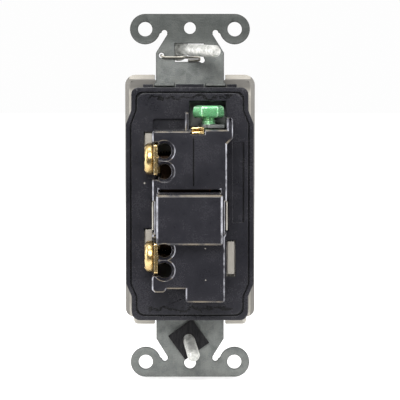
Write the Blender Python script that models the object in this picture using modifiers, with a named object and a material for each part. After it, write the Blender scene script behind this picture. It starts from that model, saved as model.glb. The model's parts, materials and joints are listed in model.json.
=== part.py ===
"""Single-pole decorator rocker switch on a steel mounting strap, wiring side towards +Y.

Frame: +Z along the strap, up when installed. -Y out of the wall, towards the user.
The origin is the middle of the box-screw pattern, on the strap's back face.
"""

import math

import bmesh
import bpy
from mathutils import Matrix, Vector

MM = 0.001

# Gap kept between pieces that touch on the real switch.
GAP = 0.3

# Mounting strap.
STRAP_THICK = 1.27
STRAP_HALF_LENGTH = 52.46
PLATE_SCREW_Z = 48.42
BOX_SCREW_Z = 41.67
EAR_X = 12.85
EAR_Z = 48.10
EAR_RADIUS = 4.36
EAR_HOLE_RADIUS = 2.07
NECK_HALF = 9.78
RAIL_OUTER = 16.2
RAIL_INNER = 13.6
STRAP_WINDOW = (-26.0, 20.0)
GROUND_TAB_TOP = 21.0

# Front frame.
FLANGE_HALF = 18.75
FLANGE_TOP = 35.1
FLANGE_BOTTOM = -37.4
FLANGE_FRONT = -4.2
FLANGE_BACK = -STRAP_THICK - GAP
RIM_SLOPE = 1.3
FACE_HALF = 16.65
FACE_HALF_LENGTH = 33.3
FACE_FRONT = -8.2
OPENING_HALF = 13.0
OPENING_HALF_LENGTH = 29.3

# Back body.
BODY_FRONT = GAP
BODY_DECK = 8.0
PLATFORM_BACK = 20.0
HUMP_BACK = 25.5
WALL = 1.25
DECK_THICK = 2.0

# Rocker and its pivot.
ROCKER_HALF = 12.6
ROCKER_HALF_LENGTH = 28.7
ROCKER_PIVOT_Y = -5.2
ROCKER_TILT = math.radians(4.5)
MECHANISM_X = -3.0
NOSE_REACH = 17.2

# Contact arm.
ARM_PIVOT_Y = 13.9
ARM_TILT = math.radians(4.5)
CONTACT_Z = -8.2

# Terminals. The screw axes run along X.
UPPER_TERMINAL_Z = 11.4
LOWER_TERMINAL_Z = -16.1
SCREW_Y = 13.0
TERMINAL_INNER = 8.9
TERMINAL_OUTER = 9.9
SHANK_RADIUS = 2.05
WIRE_X = 7.0
WIRE_OFFSET = 2.87
WIRE_DROP = 0.45
WIRE_HOLE_RADIUS = 2.1

# Ground screw. Its axis runs along Z.
GROUND_X = -5.3
GROUND_Y = 9.0
HEX_TURN = math.radians(35.0)

# Box screws, number 6 thread.
BOX_SCREW_RADIUS = 1.72
BOX_SCREW_NECK = 1.2
BOX_SCREW_HEAD = 3.4
UPPER_SCREW_AT = (1.2, 42.2)
UPPER_SCREW_LEAN = math.radians(27.0)
LOWER_SCREW_AT = (0.4, -41.4)


def clear_scene():
    """Remove every object, so the script starts from nothing."""
    for old in list(bpy.data.objects):
        bpy.data.objects.remove(old, do_unlink=True)


def collection(name):
    """Make a collection in the scene."""
    made = bpy.data.collections.new(name)
    bpy.context.scene.collection.children.link(made)
    return made


def material(name, colour, roughness, metallic):
    """A Principled material of one colour."""
    made = bpy.data.materials.new(name)
    made.use_nodes = True
    shader = made.node_tree.nodes["Principled BSDF"]
    shader.inputs["Base Color"].default_value = (*colour, 1.0)
    shader.inputs["Roughness"].default_value = roughness
    shader.inputs["Metallic"].default_value = metallic
    made.diffuse_color = (*colour, 1.0)
    return made


def add_object(name, data, group):
    """Link a new object that holds the given mesh or curve."""
    made = bpy.data.objects.new(name, data)
    group.objects.link(made)
    return made


def mesh_object(name, bm, group):
    """Turn a bmesh into an object."""
    bmesh.ops.recalc_face_normals(bm, faces=bm.faces)
    data = bpy.data.meshes.new(name)
    bm.to_mesh(data)
    bm.free()
    return add_object(name, data, group)


def block(name, x, y, z, group, round_axis=None, radius=0.0, segments=3):
    """A box from low to high on each axis, with the edges along one axis, or all, rounded."""
    bm = bmesh.new()
    bmesh.ops.create_cube(bm, size=1.0)
    size = Vector((x[1] - x[0], y[1] - y[0], z[1] - z[0]))
    middle = Vector((x[0] + x[1], y[0] + y[1], z[0] + z[1])) / 2
    bmesh.ops.scale(bm, vec=size * MM, verts=bm.verts)
    bmesh.ops.translate(bm, vec=middle * MM, verts=bm.verts)
    if radius:
        edges = bm.edges[:]
        if round_axis is not None:
            edges = [
                e for e in bm.edges if abs((e.verts[0].co - e.verts[1].co)[round_axis]) > 1e-6
            ]
        bmesh.ops.bevel(
            bm, geom=edges, offset=radius * MM, segments=segments, profile=0.5, affect="EDGES"
        )
    return mesh_object(name, bm, group)


def along(axis):
    """The turn that takes +Z to the given axis."""
    return Vector((0, 0, 1)).rotation_difference(Vector(axis)).to_matrix().to_4x4()


def rod(name, start, axis, length, radius, group, end_radius=None, segments=32):
    """A cylinder or cone that starts at a point and runs along an axis."""
    bm = bmesh.new()
    bmesh.ops.create_cone(
        bm,
        cap_ends=True,
        segments=segments,
        radius1=radius * MM,
        radius2=(radius if end_radius is None else end_radius) * MM,
        depth=length * MM,
    )
    bmesh.ops.translate(bm, vec=(0, 0, length * MM / 2), verts=bm.verts)
    bmesh.ops.transform(bm, matrix=along(axis), verts=bm.verts)
    bmesh.ops.translate(bm, vec=Vector(start) * MM, verts=bm.verts)
    return mesh_object(name, bm, group)


def arc(centre, radius, start, end, steps=8):
    """Points on an arc, angles in degrees."""
    points = []
    for step in range(steps + 1):
        turn = math.radians(start + (end - start) * step / steps)
        points.append((centre[0] + radius * math.cos(turn), centre[1] + radius * math.sin(turn)))
    return points


def circle(centre, radius, steps=28):
    """A closed ring of points."""
    return arc(centre, radius, 0, 360, steps)[:-1]


def rectangle(x, z):
    """Four corners."""
    return [(x[0], z[0]), (x[1], z[0]), (x[1], z[1]), (x[0], z[1])]


def mirrored(points):
    """The outline's other half, taken across X = 0."""
    return points + [(-x, z) for x, z in reversed(points)]


def plate(name, loops, y, group, chamfer=0.0):
    """A flat outline with holes, in the XZ plane, between two Y values; rims chamfered or square."""
    curve = bpy.data.curves.new(name, "CURVE")
    curve.dimensions = "2D"
    curve.fill_mode = "BOTH"
    curve.extrude = ((y[1] - y[0]) / 2 - chamfer) * MM
    curve.bevel_depth = chamfer * MM
    curve.bevel_resolution = 0
    curve.offset = -chamfer * MM
    for loop in loops:
        spline = curve.splines.new("POLY")
        spline.points.add(len(loop) - 1)
        for point, (x, z) in zip(spline.points, loop):
            point.co = (x * MM, z * MM, 0, 1)
        spline.use_cyclic_u = True
    flat = add_object(name, curve, group)
    flat.rotation_euler = (math.pi / 2, 0, 0)
    flat.location = (0, (y[0] + y[1]) / 2 * MM, 0)
    return as_mesh(flat, group)


def as_mesh(shape, group):
    """Replace a curve object by a welded mesh object in world coordinates."""
    bpy.context.view_layer.update()
    evaluated = shape.evaluated_get(bpy.context.evaluated_depsgraph_get())
    data = bpy.data.meshes.new_from_object(evaluated)
    data.transform(shape.matrix_world)
    name = shape.name
    bpy.data.objects.remove(shape, do_unlink=True)
    bm = bmesh.new()
    bm.from_mesh(data)
    bpy.data.meshes.remove(data)
    bmesh.ops.remove_doubles(bm, verts=bm.verts, dist=1e-6)
    return mesh_object(name, bm, group)


def wire(name, points, radius, group, resolution=2):
    """A round wire along straight stretches between points."""
    curve = bpy.data.curves.new(name, "CURVE")
    curve.dimensions = "3D"
    curve.bevel_depth = radius * MM
    curve.bevel_resolution = resolution
    curve.use_fill_caps = True
    spline = curve.splines.new("POLY")
    spline.points.add(len(points) - 1)
    for point, place in zip(spline.points, points):
        point.co = (*[c * MM for c in place], 1)
    return as_mesh(add_object(name, curve, group), group)


def turned(name, profile, axis_matrix, group, steps=32):
    """Revolve a profile of (radius, height) points, listed from top to bottom, about Z."""
    data = bpy.data.meshes.new(name)
    points = [(r * MM, 0, h * MM) for r, h in profile]
    data.from_pydata(points, [(i, i + 1) for i in range(len(points) - 1)], [])
    shape = add_object(name, data, group)
    screw = shape.modifiers.new("turn", "SCREW")
    screw.axis = "Z"
    screw.steps = steps
    screw.render_steps = steps
    screw.use_merge_vertices = True
    screw.merge_threshold = 1e-6
    shape.matrix_world = axis_matrix
    return as_mesh(shape, group)


def combine(target, operation, tools):
    """Add Boolean modifiers that join or cut the target with tool objects."""
    for tool in tools:
        tool.hide_render = True
        tool.display_type = "WIRE"
        step = target.modifiers.new(f"{operation.lower()} {tool.name}", "BOOLEAN")
        step.operation = operation
        step.solver = "EXACT"
        step.object = tool


def join(target, *tools):
    """Union."""
    combine(target, "UNION", tools)


def cut(target, *tools):
    """Difference."""
    combine(target, "DIFFERENCE", tools)


def finish(shape, surface, smooth=False):
    """Give a piece its material and its shading."""
    shape.data.materials.clear()
    shape.data.materials.append(surface)
    if smooth:
        for face in shape.data.polygons:
            face.use_smooth = True
    return shape


def hang(shape, pivot):
    """Parent a piece that was modelled in place to a pivot that is still unturned."""
    shape.data.transform(Matrix.Translation(-pivot.location))
    shape.parent = pivot


def pivot_empty(name, place, group):
    """An empty on a joint's axis."""
    made = add_object(name, None, group)
    made.location = Vector(place) * MM
    made.empty_display_size = 0.005
    return made


# Mounting strap ---------------------------------------------------------------


def strap_end():
    """The upper right quarter's outline, from the side rail to the strap's end."""
    points = [(RAIL_OUTER, 0.0), (RAIL_OUTER, 26.0), (14.2, 28.4), (10.4, 29.6), (10.4, 32.4)]
    points += [(NECK_HALF, 33.0), (NECK_HALF, 41.3), (6.42, 46.7)]
    points += arc((7.33, 47.05), 0.85, 205, 5, 6)
    points += arc((EAR_X, EAR_Z), EAR_RADIUS, 197, 450, 24)
    return points


def mounting_strap(parts, tools):
    """Steel strap with washer ears, screw slots, ground tab and two crimp tabs."""
    quarter = strap_end()
    upper = quarter + [(-x, z) for x, z in reversed(quarter)]
    lower = [(x, -z) for x, z in reversed(upper)][1:-1]
    loops = [upper + lower]
    for side in (1, -1):
        loops.append(circle((0, side * PLATE_SCREW_Z), 1.7))
        for ear in (1, -1):
            loops.append(circle((ear * EAR_X, side * EAR_Z), EAR_HOLE_RADIUS))
    upper_slot = rectangle((-3.95, 4.33), (38.76, 43.98))
    lower_slot = rectangle((-2.5, 3.3), (-44.1, -38.9))
    loops += [upper_slot, lower_slot, circle((8.2, 40.6), 0.78, 16)]
    loops.append(rectangle((-RAIL_INNER, RAIL_INNER), STRAP_WINDOW))
    strap = plate("mounting_strap", loops, (-STRAP_THICK, 0.0), parts)
    tab_z = (GROUND_TAB_TOP - 1.0, GROUND_TAB_TOP)
    join(strap, block("ground tab", (-9.9, -2.9), (-0.6, 13.4), tab_z, tools))
    for side in (1, -1):
        x = sorted((side * 4.4, side * 10.3))
        join(strap, block("crimp tab", x, (-0.5, 2.4), (31.75, 32.7), tools, 1, 0.25, 2))
    corner = block("tab corner", (-1.6, 1.6), (-3.0, 3.0), (18.0, 23.0), tools)
    corner_place = Matrix.Translation(Vector((-2.6, 13.0, 0)) * MM)
    corner.matrix_world = corner_place @ Matrix.Rotation(math.radians(35.5), 4, "Z")
    cut(strap, corner)
    cut(strap, rod("tab hole", (GROUND_X, GROUND_Y, 18.0), (0, 0, 1), 5.0, 2.3, tools))
    cut(strap, rod("slot corner", (-3.5, -3.0, 39.2), (0, 1, 0), 6.0, 0.75, tools, segments=16))
    return strap


# Front frame ------------------------------------------------------------------


def rounded_outline(half, bottom, top, radius):
    """A rectangle with four rounded corners."""
    points = arc((half - radius, bottom + radius), radius, -90, 0, 6)
    points += arc((half - radius, top - radius), radius, 0, 90, 6)
    return mirrored(points)


def frame_outline():
    """The flange: rounded top corners, and stepped bottom corners down to a narrower lower tab."""
    points = arc((15.2, FLANGE_BOTTOM + 1.2), 1.2, -90, 0, 4)
    points += arc((16.4, -32.9), 2.35, -90, 0, 6)
    points += arc((FLANGE_HALF - 3.0, FLANGE_TOP - 3.0), 3.0, 0, 90, 6)
    return mirrored(points)


def front_frame(parts, tools):
    """Outer frame of the switch: flange behind the wall plate, face frame and latch arms."""
    slab = (FLANGE_FRONT - 2 * RIM_SLOPE, FLANGE_BACK)
    frame = plate("front_frame", [frame_outline()], slab, parts, RIM_SLOPE)
    cut(frame, block("flange front", (-25, 25), (slab[0] - 1, FLANGE_FRONT), (-45, 45), tools))
    face_loop = rounded_outline(FACE_HALF, -FACE_HALF_LENGTH, FACE_HALF_LENGTH, 1.0)
    join(frame, plate("face frame", [face_loop], (FACE_FRONT, FLANGE_FRONT + 0.5), tools))
    opening = rectangle((-OPENING_HALF, OPENING_HALF), (-OPENING_HALF_LENGTH, OPENING_HALF_LENGTH))
    cut(frame, plate("rocker opening", [opening], (FACE_FRONT - 1, 1.0), tools))
    for z in ((FACE_HALF_LENGTH + 0.2, 40.0), (-40.0, -FACE_HALF_LENGTH - 0.2)):
        cut(frame, block("strap notch", (-10.2, 10.2), (-9.0, 0.0), z, tools, 1, 0.4, 2))
    for side in (1, -1):
        x = sorted((side * 12.4, side * 13.3))
        join(frame, block("side rib", x, (-2.6, -0.3), (-24.0, 19.4), tools))
        x = sorted((side * 9.9, side * 13.2))
        join(frame, block("side ledge", x, (-1.3, -0.4), (-23.9, 19.3), tools))
        low_end = -23.4 if side < 0 else -20.0
        x = sorted((side * 10.3, side * 13.2))
        for z in ((7.0, 19.3), (low_end, -9.6)):
            join(frame, block("window step", x, (-1.0, BODY_DECK - DECK_THICK - GAP), z, tools))
        x = sorted((side * 10.05, side * 10.6))
        join(frame, block("latch arm", x, (-0.9, 14.0), (-8.7, -0.7), tools))
        hole_start = (side * 12.0, ROCKER_PIVOT_Y, 0)
        cut(frame, rod("trunnion hole", hole_start, (side, 0, 0), 2.8, 1.5, tools))
    for side, z in ((1, (8.2, 18.5)), (1, (-18.7, -8.9)), (-1, (-21.7, -12.3))):
        x = sorted((side * 10.75, side * 12.65))
        join(frame, block("window pad", x, (5.0, 7.5), z, tools))
    return frame


# Rocker and actuator ----------------------------------------------------------


def rocker_shell(parts, tools):
    """Paddle with a shallow V face, open behind, with side trunnions and a hollow post."""
    outline = [(-10.0, -ROCKER_HALF_LENGTH), (-9.0, 0.0), (-10.0, ROCKER_HALF_LENGTH)]
    outline += [(-4.6, ROCKER_HALF_LENGTH), (-4.6, -ROCKER_HALF_LENGTH)]
    bm = bmesh.new()
    side = [bm.verts.new((-ROCKER_HALF * MM, y * MM, z * MM)) for y, z in outline]
    bm.faces.new(side)
    swept = bmesh.ops.extrude_face_region(bm, geom=bm.faces[:])
    moved = [v for v in swept["geom"] if isinstance(v, bmesh.types.BMVert)]
    bmesh.ops.translate(bm, vec=(2 * ROCKER_HALF * MM, 0, 0), verts=moved)
    front = [e for e in bm.edges if all(v.co.y < -8.0 * MM for v in e.verts)]
    rim = [e for e in front if max(abs(v.co.z) for v in e.verts) > 1e-6]
    bmesh.ops.bevel(bm, geom=rim, offset=0.6 * MM, segments=3, profile=0.5, affect="EDGES")
    shell = mesh_object("rocker", bm, parts)
    hollow = block("rocker hollow", (-10.8, 10.8), (-7.2, -3.0), (-26.9, 26.9), tools)
    cut(shell, hollow)
    for side in (1, -1):
        x = sorted((side * 10.6, side * 12.6))
        join(shell, block("trunnion boss", x, (-7.4, -3.9), (-1.9, 1.9), tools))
        join(shell, rod("trunnion", (side * 12.3, ROCKER_PIVOT_Y, 0), (side, 0, 0), 2.1, 1.25, tools))
    join(shell, rod("post", (MECHANISM_X, -7.5, 0), (0, 1, 0), 13.5, 3.0, tools))
    cut(shell, rod("post bore", (MECHANISM_X, -2.2, 0), (0, 1, 0), 10.0, 1.95, tools))
    return shell


def actuator_plunger(parts):
    """Round-nosed plunger that rides in the post and rocks the contact arm."""
    nose_y = ROCKER_PIVOT_Y + NOSE_REACH
    radius = 1.7
    profile = [(0.0, 0.0)]
    for step in range(1, 7):
        turn = math.radians(15 * step)
        profile.append((radius * math.sin(turn), -radius + radius * math.cos(turn)))
    profile += [(radius, -9.2), (radius - 0.3, -9.5), (0.0, -9.5)]
    place = Matrix.Translation(Vector((MECHANISM_X, nose_y, 0)) * MM) @ along((0, 1, 0))
    return turned("actuator_plunger", profile, place, parts, 24)


def actuator_spring(parts):
    """Compression spring between the post's floor and the plunger."""
    low = ROCKER_PIVOT_Y + NOSE_REACH - 9.5 - GAP - 0.25
    high = -2.2 + GAP + 0.25
    turns = 5
    steps = 14
    points = []
    for step in range(turns * steps + 1):
        turn = 2 * math.pi * step / steps
        y = high + (low - high) * step / (turns * steps)
        points.append((MECHANISM_X + 1.35 * math.cos(turn), y, 1.35 * math.sin(turn)))
    return wire("actuator_spring", points, 0.2, parts, 1)


def contact_arm(parts, tools):
    """Rocking copper arm that carries the moving contact."""
    x = (MECHANISM_X - 3.0, MECHANISM_X + 3.0)
    arm = block("contact_arm", x, (12.4, 13.2), (-10.4, 5.0), parts, 1, 0.8, 3)
    for side in (1, -1):
        ear = sorted((MECHANISM_X + side * 2.2, MECHANISM_X + side * 3.0))
        join(arm, block("stiffening lip", ear, (11.4, 12.7), (-5.0, 3.6), tools))
    return arm


# Terminals and contacts ---------------------------------------------------------


def terminal(name, centre, side, leg_z, leg_y, parts, tools):
    """Brass plate with a foot below the clamp, a riser, and a leg into the mechanism."""
    x = (TERMINAL_INNER, TERMINAL_OUTER)
    half = 4.45
    made = block(name, x, (8.6, 19.5), (centre - half, centre + half), parts, 0, 0.8, 3)
    riser_z = sorted((centre + side * 6.7, centre + side * 6.0))
    foot_z = sorted((centre + side * 1.5, centre + side * 4.3))
    strip_z = sorted((centre + side * 3.5, centre + side * 6.5))
    join(made, block("foot", (4.3, 9.4), (8.2, 9.1), foot_z, tools))
    join(made, block("strip", (4.1, 8.1), (8.3, 9.2), strip_z, tools))
    join(made, block("riser", (4.0, 8.2), (8.3, leg_y[1]), riser_z, tools))
    join(made, block("leg", (MECHANISM_X - 2.5, 8.2), leg_y, leg_z, tools))
    cut(made, rod("screw hole", (5.0, SCREW_Y, centre), (1, 0, 0), 10.0, 2.4, tools))
    return made


def terminal_screw(name, centre, parts, tools):
    """Brass binding screw, slotted and cross-cut."""
    profile = [(0.0, 12.75), (3.6, 12.75), (4.3, 12.45), (4.45, 12.0), (4.45, 10.6), (4.2, 10.35)]
    profile += [(SHANK_RADIUS, 10.35), (SHANK_RADIUS, 2.2), (1.6, 1.7), (0.0, 1.7)]
    place = Matrix.Translation(Vector((0, SCREW_Y, centre)) * MM) @ along((1, 0, 0))
    screw = turned(name, profile, place, parts)
    y = (SCREW_Y - 0.6, SCREW_Y + 0.6)
    slot_z = (centre - 0.6, centre + 0.6)
    cut(screw, block("slot", (11.6, 14.0), (SCREW_Y - 6, SCREW_Y + 6), slot_z, tools))
    cut(screw, block("cross slot", (11.4, 14.0), y, (centre - 2.2, centre + 2.2), tools))
    return screw


def pressure_plate(name, centre, parts, tools):
    """Threaded clamp plate that the terminal screw draws outwards onto the wires."""
    clamp = block(name, (3.9, 5.1), (9.5, 16.6), (centre - 4.3, centre + 4.3), parts, 0, 0.7, 3)
    hole = rod("clamp hole", (1.0, SCREW_Y, centre), (1, 0, 0), 8.0, SHANK_RADIUS + 0.15, tools)
    cut(clamp, hole)
    return clamp


def contact_button(name, y, parts):
    """Silver contact disc with a crowned face."""
    place = Matrix.Translation(Vector((MECHANISM_X, y, CONTACT_Z)) * MM) @ along((0, 1, 0))
    profile = [(0.0, 0.8), (1.5, 0.8), (1.9, 0.55), (1.9, 0.0), (0.0, 0.0)]
    return turned(name, profile, place, parts, 24)


# Back body ----------------------------------------------------------------------


def body_outline(inset):
    """Flange outline, narrower at both ends."""
    wide = 18.15 - inset
    narrow = 16.6 - inset
    top = 31.4 - inset
    bottom = -34.9 + inset
    points = arc((narrow - 2.4, bottom + 2.4), 2.4, -90, 0, 5)
    points += [(narrow, -28.0), (wide, -24.5), (wide, 21.0), (narrow, 24.9)]
    points += arc((narrow - 2.0, top - 2.0), 2.0, 0, 90, 5)
    return mirrored(points)


def platform_outline():
    """Raised part of the body that holds the terminals and the contacts."""
    points = arc((9.75, 18.7), 0.6, 0, 90, 3)
    points += [(0.0, 19.3), (0.0, 19.7), (-10.3, 19.7), (-10.3, 23.0)]
    points += arc((-11.2, 22.2), 0.8, 90, 180, 4)
    points += [(-12.0, 17.3), (-10.35, 15.7), (-10.35, -0.1), (-9.75, -0.4), (-9.75, -9.0)]
    points += [(-10.35, -9.3), (-9.8, -10.2)]
    points += arc((-9.0, -27.6), 0.8, 180, 270, 4)
    points += [(0.6, -28.4), (1.1, -27.9), (1.1, -24.6), (6.4, -24.6), (6.8, -25.2)]
    points += [(7.2, -25.6), (9.7, -25.6), (10.5, -24.8), (10.5, -21.6)]
    points += [(10.35, -21.2), (10.35, -9.3), (9.75, -9.0), (9.75, -0.4), (10.35, -0.1)]
    return points


def cavity_outline():
    """Inside of the platform."""
    return [
        (9.1, 18.0),
        (-9.1, 18.0),
        (-9.1, -9.6),
        (-8.5, -10.5),
        (-8.5, -27.1),
        (-0.15, -27.1),
        (-0.15, -23.3),
        (9.1, -23.3),
    ]


def back_body(parts, tools):
    """Black moulded body: rimmed deck, platform, arc chamber hump and wire entries."""
    body = plate("back_body", [body_outline(0.0)], (BODY_FRONT, BODY_DECK), parts)
    join(body, plate("platform", [platform_outline()], (BODY_DECK - 1.0, PLATFORM_BACK), tools))
    cut(body, plate("deck hollow", [body_outline(1.5)], (-1.0, BODY_DECK - DECK_THICK), tools))
    groove = [body_outline(1.2), body_outline(1.65)]
    cut(body, plate("deck groove", groove, (BODY_DECK - 0.8, 9.0), tools))
    cut(body, plate("cavity", [cavity_outline()], (-2.0, PLATFORM_BACK - WALL), tools))
    for centre in (UPPER_TERMINAL_Z, LOWER_TERMINAL_Z):
        for side in (1, -1):
            z = centre - WIRE_DROP + side * WIRE_OFFSET
            start = (WIRE_X, PLATFORM_BACK - 1.1, z)
            cut(body, rod("funnel", start, (0, 1, 0), 1.2, 2.05, tools, 3.05))
    hump_y = (PLATFORM_BACK - 0.6, HUMP_BACK)
    join(body, block("hump", (-9.2, 9.2), hump_y, (-12.0, 2.0), tools, None, 0.75, 2))
    cut(body, block("hump hollow", (-7.9, 7.9), (17.0, HUMP_BACK - WALL), (-10.7, 0.8), tools))
    for centre in (UPPER_TERMINAL_Z, LOWER_TERMINAL_Z):
        for side in (1, -1):
            start = (WIRE_X, PLATFORM_BACK - 3.0, centre - WIRE_DROP + side * WIRE_OFFSET)
            cut(body, rod("wire hole", start, (0, 1, 0), 12.0, WIRE_HOLE_RADIUS, tools, segments=24))
    notches = (
        (UPPER_TERMINAL_Z - 5.6, UPPER_TERMINAL_Z + 4.9),
        (LOWER_TERMINAL_Z - 4.9, LOWER_TERMINAL_Z + 5.8),
    )
    for z in notches:
        cut(body, block("terminal notch", (8.6, 12.0), (BODY_DECK - 0.2, 21.0), z, tools))
    for x, z in (
        ((10.45, 12.95), (7.9, 18.8)),
        ((10.45, 12.95), (-19.0, -8.6)),
        ((-12.95, -10.45), (-22.4, -12.0)),
        ((-10.2, 0.1), (19.76, 27.6)),
    ):
        cut(body, block("deck window", x, (0.0, BODY_DECK + 1.0), z, tools))
    for side in (1, -1):
        x = sorted((side * 9.7, side * 10.95))
        cut(body, block("latch slot", x, (0.0, BODY_DECK + 1.0), (-9.2, -0.2), tools))
    cut(body, block("clip slot", (-4.3, -0.3), (13.6, 21.0), (18.35, 20.9), tools))
    cut(body, rod("ground bore", (GROUND_X, GROUND_Y, 16.0), (0, 0, 1), 6.0, 2.7, tools))
    recess_y = (BODY_DECK - 1.2, 9.0)
    cut(body, block("corner recess", (1.5, 10.4), recess_y, (19.4, 22.5), tools, 1, 0.7, 3))
    join(body, block("window rib", (0.35, 1.3), (BODY_DECK - 1.0, 12.0), (19.1, 24.4), tools))
    cut(body, block("arc vent", (-8.7, 8.7), (17.0, 21.0), (2.3, 3.2), tools))
    cut(body, block("label recess", (-15.4, -12.2), (BODY_DECK - 0.3, 9.0), (-6.9, 15.9), tools))
    gauge_y = (PLATFORM_BACK - 0.3, 21.0)
    cut(body, block("strip gauge", (-1.25, -0.95), gauge_y, (4.0, 17.3), tools))
    join(body, block("centre lug", (-4.0, 4.0), (BODY_FRONT + 0.1, 4.2), (31.0, 32.3), tools))
    for side in (1, -1):
        x = sorted((side * 10.6, side * 13.4))
        join(body, block("side lug", x, (BODY_FRONT + 0.1, 3.2), (31.0, 32.3), tools))
    return body


# Screws and small pieces --------------------------------------------------------


def ground_screw(parts, tools):
    """Green ground screw: thick slotted hexagon head with a rounded rim below."""
    head_top = 26.3
    head_low = 22.8
    place = Matrix.Translation(Vector((GROUND_X, GROUND_Y, 0)) * MM)
    profile = [(0.0, head_low + 1.0), (3.6, head_low + 1.0), (3.9, head_low + 0.2), (3.7, head_low)]
    profile += [(SHANK_RADIUS, head_low), (SHANK_RADIUS, 18.4), (1.6, 17.8), (0.0, 17.8)]
    screw = turned("ground_screw", profile, place, parts)
    middle = (GROUND_X, GROUND_Y, head_low + 0.1)
    hexagon = rod("hexagon", (0, 0, 0), (0, 0, 1), head_top - head_low - 0.1, 4.5, tools, None, 6)
    hexagon.matrix_world = Matrix.Translation(Vector(middle) * MM) @ Matrix.Rotation(HEX_TURN, 4, "Z")
    join(screw, hexagon)
    y = (GROUND_Y - 0.6, GROUND_Y + 0.6)
    cut(screw, block("slot", (GROUND_X - 6, GROUND_X + 6), y, (head_top - 1.1, head_top + 2), tools))
    return screw


def ground_clip(parts):
    """Folded brass strip beside the ground tab."""
    z_mid = 19.5
    outer = 0.85
    thick = 0.5
    bend = arc((0, 0), outer, 90, 270, 8)
    inner = arc((0, 0), outer - thick, 270, 90, 6)
    length = 5.0
    loop = [(length, outer)] + bend + [(length, -outer), (length, -outer + thick)]
    loop += inner + [(length, outer - thick)]
    curve = bpy.data.curves.new("ground_clip", "CURVE")
    curve.dimensions = "2D"
    curve.fill_mode = "BOTH"
    curve.extrude = 1.7 * MM
    spline = curve.splines.new("POLY")
    spline.points.add(len(loop) - 1)
    for point, (y, z) in zip(spline.points, loop):
        point.co = (y * MM, z * MM, 0, 1)
    spline.use_cyclic_u = True
    clip = add_object("ground_clip", curve, parts)
    clip.matrix_world = (
        Matrix.Translation(Vector((-2.3, 14.9, z_mid)) * MM)
        @ Matrix.Rotation(math.pi / 2, 4, "Z")
        @ Matrix.Rotation(math.pi / 2, 4, "X")
    )
    return as_mesh(clip, parts)


def box_screw(name, at, axis, under_head, parts, tools):
    """Captive box screw through the strap: head in front, bare neck, chamfered point."""
    profile = [(0.0, 19.6), (1.1, 19.4), (BOX_SCREW_RADIUS, 18.4), (BOX_SCREW_RADIUS, 3.1)]
    profile += [(BOX_SCREW_NECK, 2.6), (BOX_SCREW_NECK, -under_head), (1.9, -under_head)]
    profile += [(BOX_SCREW_HEAD, -under_head - 1.2), (BOX_SCREW_HEAD, -under_head - 1.6)]
    profile += [(2.2, -under_head - 2.1), (0.0, -under_head - 2.2)]
    place = Matrix.Translation(Vector((at[0], 0, at[1])) * MM) @ along(axis)
    screw = turned(name, profile, place, parts)
    slot = block("driver slot", (-5, 5), (-0.45, 0.45), (-under_head - 4, -under_head - 1.2), tools)
    slot.matrix_world = place
    cut(screw, slot)
    return screw


def auto_ground_clip(parts):
    """Thin wire that hooks through the strap and touches the box screw's slot."""
    y = 0.7
    points = [(8.2, -1.0, 40.6), (8.2, 0.1, 40.58), (8.05, 0.55, 40.4), (7.6, y, 40.1)]
    points += [(7.0, y, 39.97), (2.0, y, 39.97), (-2.3, y, 39.97), (-2.62, y, 39.9)]
    points += [(-2.78, y, 39.72), (-2.78, y, 39.4), (-2.62, y, 39.2), (-2.3, y, 39.12)]
    points += [(0.6, y, 39.12)]
    return wire("auto_ground_clip", points, 0.375, parts, 2)


def screw_retainer(parts):
    """Square black fibre washer that keeps the lower screw captive."""
    half = 4.25
    turn = math.radians(54)
    corners = []
    for x, z in ((half, half), (-half, half), (-half, -half), (half, -half)):
        corners.append((
            LOWER_SCREW_AT[0] + x * math.cos(turn) - z * math.sin(turn),
            LOWER_SCREW_AT[1] + x * math.sin(turn) + z * math.cos(turn),
        ))
    loops = [corners, circle(LOWER_SCREW_AT, 1.6, 20)]
    return plate("lower_screw_retainer", loops, (GAP, GAP + 0.85), parts)


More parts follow.
